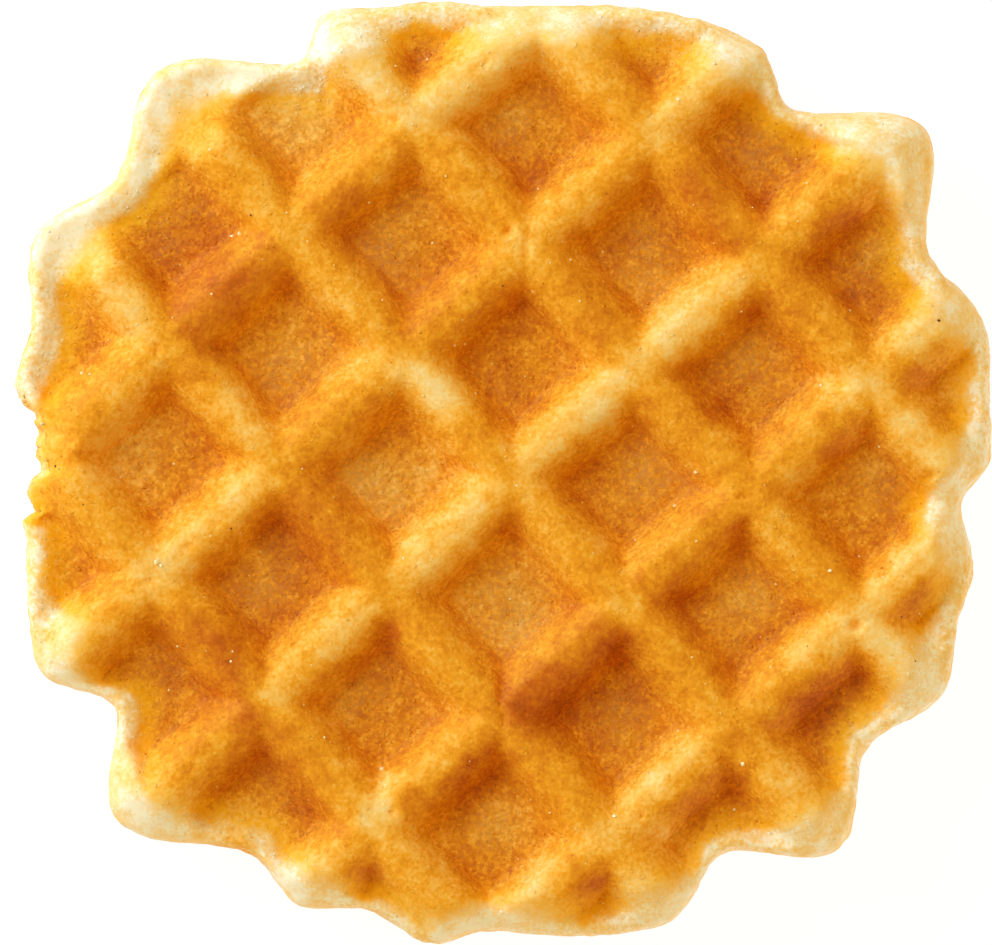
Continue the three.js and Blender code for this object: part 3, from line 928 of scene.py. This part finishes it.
def crust_material(name, scatter):
    """Baked crust: cream where it is raw, then yellow, orange and brown, with a fine grain; some painted
    shade and light.
    """
    material, nodes, links, shader = new_material(name)
    place = nodes.new("ShaderNodeTexCoord")
    grain = noise_node(nodes, links, place, FINE_SIZE, FINE_DETAIL)
    mottle = noise_node(nodes, links, place, MOTTLE_SIZE, MOTTLE_DETAIL)
    crystals = crystal_node(nodes, links, place, CRYSTAL_SIZE)
    grain_change = centred_node(nodes, links, grain, FINE_AMOUNT)
    crystal_change = centred_node(nodes, links, crystals, CRYSTAL_AMOUNT)
    change = math_node(nodes, links, "ADD", grain_change, crystal_change)
    change = math_node(nodes, links, "MULTIPLY", change, attribute_node(nodes, "coarseness"))
    brown = math_node(nodes, links, "ADD", attribute_node(nodes, "browning_and_shade"), change)
    mottle_change = centred_node(nodes, links, mottle, MOTTLE_AMOUNT)
    brown = math_node(nodes, links, "ADD", brown, mottle_change)
    colour = ramp_node(nodes, links, brown, CRUST_COLOURS)
    specks = math_node(nodes, links, "MULTIPLY_ADD", grain, SPECK_CONTRAST, SPECK_OFFSET)
    share = math_node(nodes, links, "MULTIPLY", attribute_node(nodes, "sandiness"), specks)
    share = math_node(nodes, links, "MULTIPLY", share, SANDY_SHARE)
    colour = mix_node(nodes, links, share, colour, SANDY_COLOUR)
    share = math_node(nodes, links, "MULTIPLY", attribute_node(nodes, "yellowness"), YELLOW_SHARE)
    colour = mix_node(nodes, links, share, colour, YELLOW_COLOUR)
    links.new(colour, shader.inputs["Base Color"])
    bump = nodes.new("ShaderNodeBump")
    bump.inputs["Strength"].default_value = BUMP_STRENGTH
    bump.inputs["Distance"].default_value = BUMP_HEIGHT * MM
    links.new(grain, bump.inputs["Height"])
    links.new(bump.outputs["Normal"], shader.inputs["Normal"])
    shader.inputs["Roughness"].default_value = ROUGHNESS
    shader.inputs["Specular IOR Level"].default_value = GLOSS
    shader.subsurface_method = SCATTER_METHOD
    shader.inputs["Subsurface Weight"].default_value = scatter
    shader.inputs["Subsurface Radius"].default_value = SCATTER_REACH
    shader.inputs["Subsurface Scale"].default_value = MM
    return material


# The table: half its width in mm, its dull surface, and its glow
FLOOR_HALF = 600.0
FLOOR_COLOUR = (0.12, 0.12, 0.12, 1.0)
FLOOR_ROUGHNESS = 0.8
GLOW_COLOUR = (1, 1, 1, 1)
FLOOR_GLOW = 0.94


def add_floor():
    """A pale light table, which keeps the shadows on it faint."""
    half = FLOOR_HALF
    points = [(-half, -half, 0), (half, -half, 0), (half, half, 0), (-half, half, 0)]
    floor = make_mesh("floor", points, [(0, 1, 2, 3)])
    material, _, _, shader = new_material("pale_table")
    shader.inputs["Base Color"].default_value = FLOOR_COLOUR
    shader.inputs["Roughness"].default_value = FLOOR_ROUGHNESS
    shader.inputs["Emission Color"].default_value = GLOW_COLOUR
    shader.inputs["Emission Strength"].default_value = FLOOR_GLOW
    material.cycles.emission_sampling = "NONE"
    floor.data.materials.append(material)


# The lights: the direction that each comes from, as an angle from +X and a height, its width in mm,
# its power in watts and its colour. They are bluish and the sky is yellow, so shaded sides are warmer.
LIGHT_DISTANCE = 800.0
KEY_FROM = np.radians(145.6)
KEY_HEIGHT = np.radians(28)
KEY_SIZE = 700.0
KEY_POWER = 6.0
KEY_COLOUR = (0.76, 1.13, 1.6)
FILL_FROM = np.radians(-35)
FILL_HEIGHT = np.radians(3)
FILL_SIZE = 120.0
FILL_POWER = 1.1
FILL_COLOUR = (0.8, 1.0, 1.4)
SKY_STRENGTH = 0.5
SKY_COLOUR = (1.28, 1.08, 0.40, 1.0)


def add_light(name, turn, height, size, power, colour):
    """A round area light that looks at the waffle from one direction."""
    light = bpy.data.lights.new(name, "AREA")
    light.shape = "DISK"
    light.size = size * MM
    light.energy = power
    light.color = colour
    lamp = bpy.data.objects.new(name, light)
    level, up = LIGHT_DISTANCE * MM * np.array([np.cos(height), np.sin(height)])
    lamp.location = (level * np.cos(turn), level * np.sin(turn), up)
    lamp.rotation_euler = (-lamp.location).to_track_quat("-Z", "Y").to_euler()
    bpy.context.scene.collection.objects.link(lamp)


def add_lights():
    """A large soft light from the upper left, a low faint one opposite, and an even pale sky."""
    add_light("key", KEY_FROM, KEY_HEIGHT, KEY_SIZE, KEY_POWER, KEY_COLOUR)
    add_light("fill", FILL_FROM, FILL_HEIGHT, FILL_SIZE, FILL_POWER, FILL_COLOUR)
    world = bpy.data.worlds.new("pale_sky")
    world.use_nodes = True
    background = world.node_tree.nodes["Background"]
    background.inputs["Color"].default_value = SKY_COLOUR
    background.inputs["Strength"].default_value = SKY_STRENGTH
    bpy.context.scene.world = world
    bpy.context.scene.view_settings.view_transform = "Standard"


# The camera's lens, its sensor's width, how far it sees, and the height above the table at which the
# photograph's scale holds, all in mm
CAMERA_LENS = 600.0
CAMERA_SENSOR = 36.0
CAMERA_REACH = 10000.0
SCALE_HEIGHT = 9.0


def add_camera():
    """Straight down, with image up along +Y, framed as the photograph is."""
    width = PHOTO_SIZE[0] / PHOTO_SCALE
    x = (PHOTO_SIZE[0] / 2 - PHOTO_MIDDLE[0]) / PHOTO_SCALE
    y = (PHOTO_MIDDLE[1] - PHOTO_SIZE[1] / 2) / PHOTO_SCALE
    data = bpy.data.cameras.new("camera")
    data.lens = CAMERA_LENS
    data.sensor_width = CAMERA_SENSOR
    data.clip_end = CAMERA_REACH * MM
    camera = bpy.data.objects.new("camera", data)
    distance = width * CAMERA_LENS / CAMERA_SENSOR
    camera.location = (x * MM, y * MM, (distance + SCALE_HEIGHT) * MM)
    bpy.context.scene.collection.objects.link(camera)
    bpy.context.scene.camera = camera


add_camera()
add_lights()
add_floor()

waffle, upper_face = add_waffle()
for piece in [waffle, *add_toppings(upper_face)]:
    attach(piece, "root")
    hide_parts("waffle")
